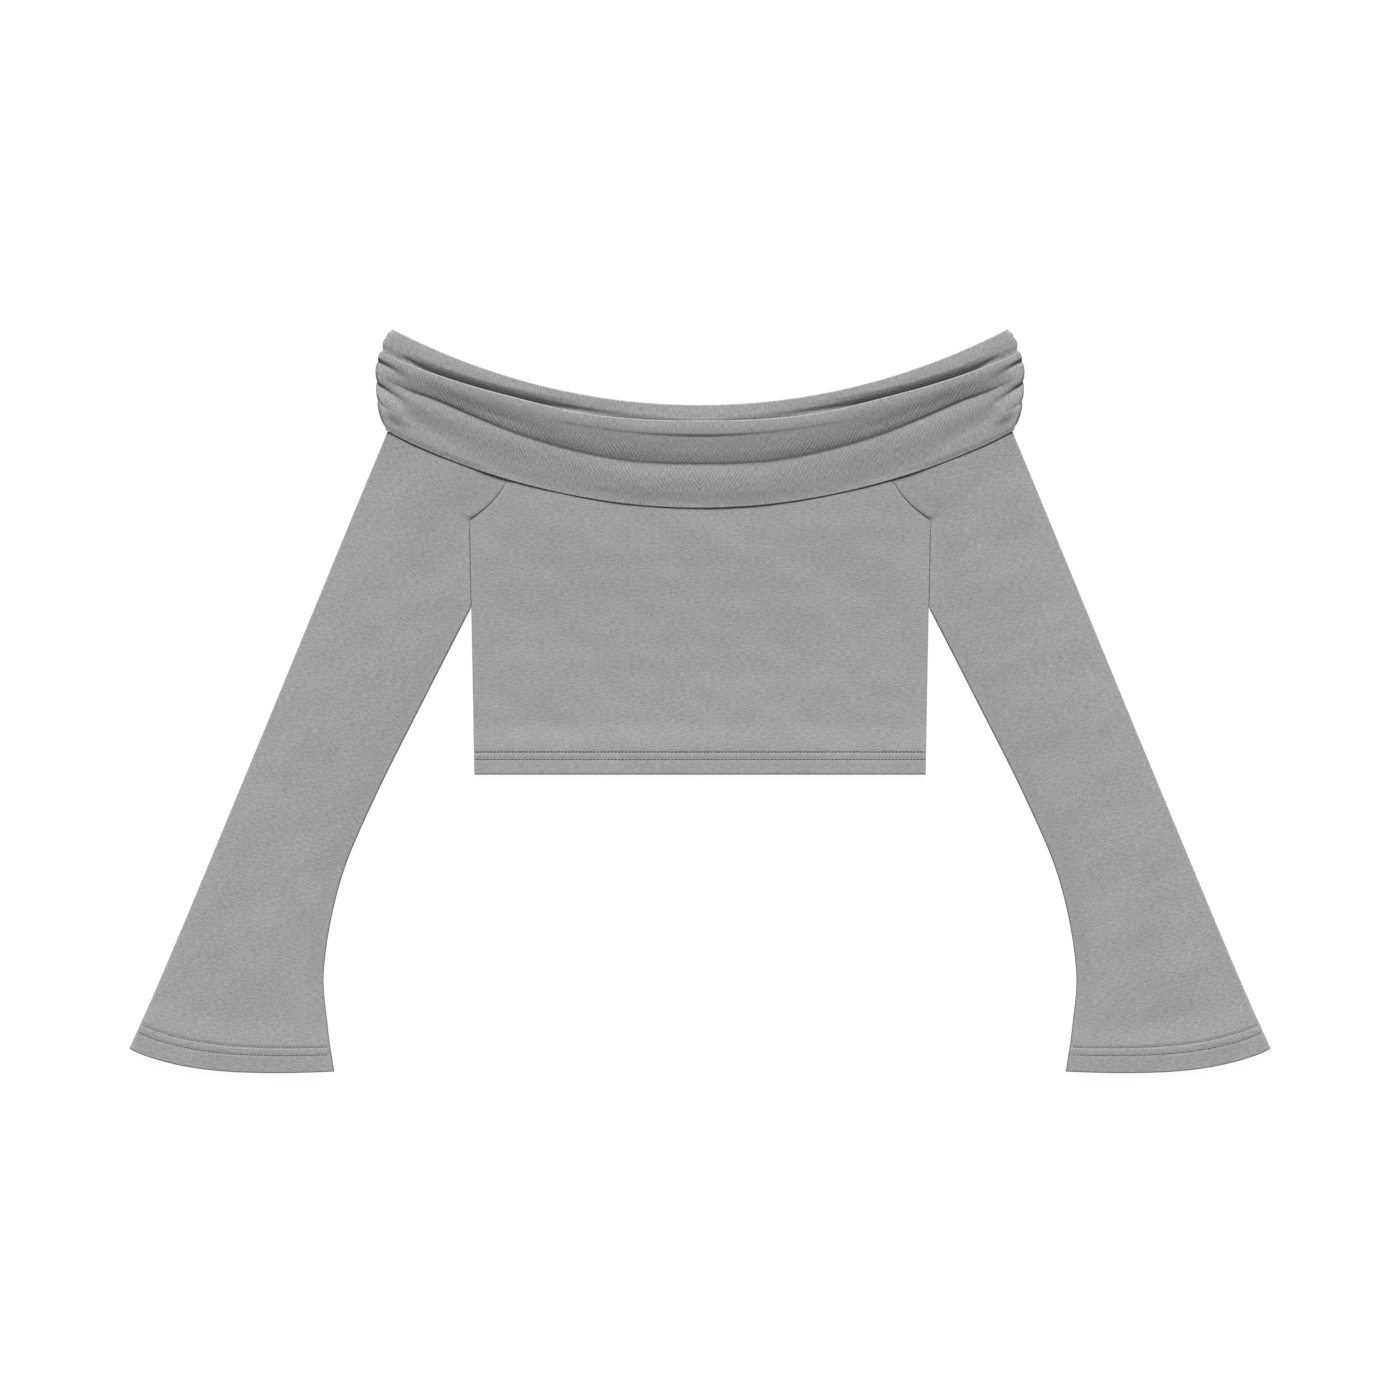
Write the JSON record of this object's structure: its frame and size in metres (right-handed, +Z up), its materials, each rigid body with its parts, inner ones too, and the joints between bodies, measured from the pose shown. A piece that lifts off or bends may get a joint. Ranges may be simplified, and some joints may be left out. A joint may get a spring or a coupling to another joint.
{
  "type": "off-shoulder top",
  "caption": "Off-shoulder jersey top laid flat: short straight body, long flared sleeves and a deep collar folded over and gathered at both shoulders.",
  "frame": {"origin": "on the table, under the middle of the garment's outline", "axes": "+X across the garment towards its sleeve on the right of the picture, +Y from the hem towards the neckline, +Z up from the table, which the back lies on"},
  "size_m": [0.9466, 0.6174, 0.0148],
  "materials": {
    "jersey": "matt grey single jersey"
  },
  "bodies": {
    "root": {"body_back": "jersey", "body_front": "jersey", "sleeve_left": "jersey", "sleeve_right": "jersey", "collar_back": "jersey", "collar_front": "jersey"}
  },
  "joints": []
}
